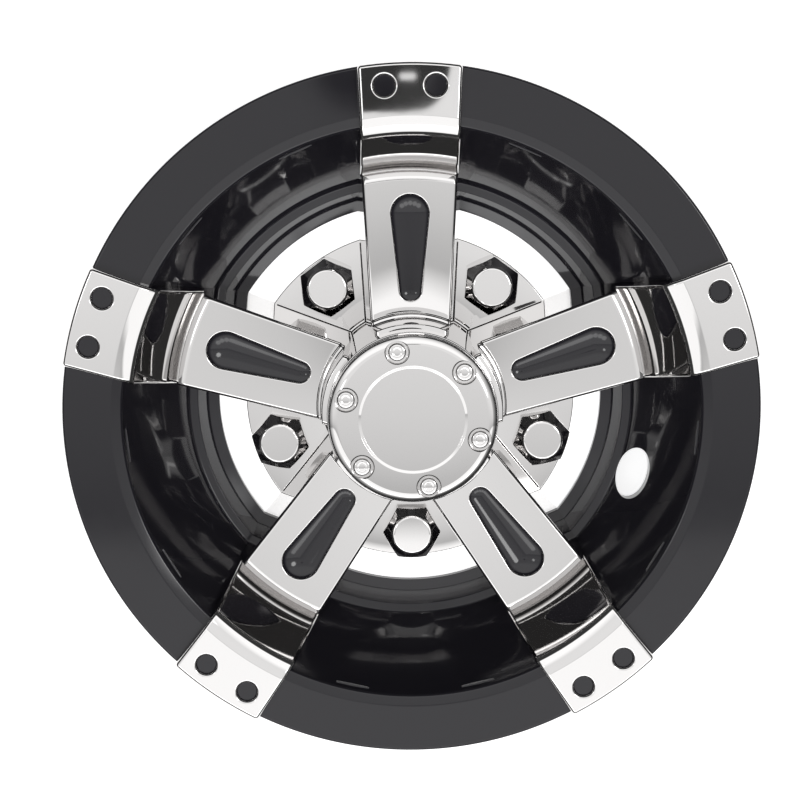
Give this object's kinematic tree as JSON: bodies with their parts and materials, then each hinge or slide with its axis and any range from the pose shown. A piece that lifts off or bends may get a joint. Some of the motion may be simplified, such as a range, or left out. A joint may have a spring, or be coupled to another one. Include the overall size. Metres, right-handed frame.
{
  "type": "wheel cover",
  "caption": "Deep five-spoke wheel cover with chromed spokes, nuts and hub cap in a gloss black dish, open at the back, with clips behind its rim.",
  "frame": {"origin": "on the hub axis, in the plane of the ring that the cover rests on when it lies on its back", "axes": "+Z along the hub axis, out of the face; +Y along one spoke; X across it"},
  "size_m": [0.24, 0.2404, 0.0537],
  "materials": {
    "chrome_plate": "bright chrome plating on moulded plastic",
    "black_paint": "gloss black paint over the dish, the slots and the foot recesses"
  },
  "bodies": {
    "root": {"wheel_cover": "chrome_plate"}
  },
  "joints": []
}
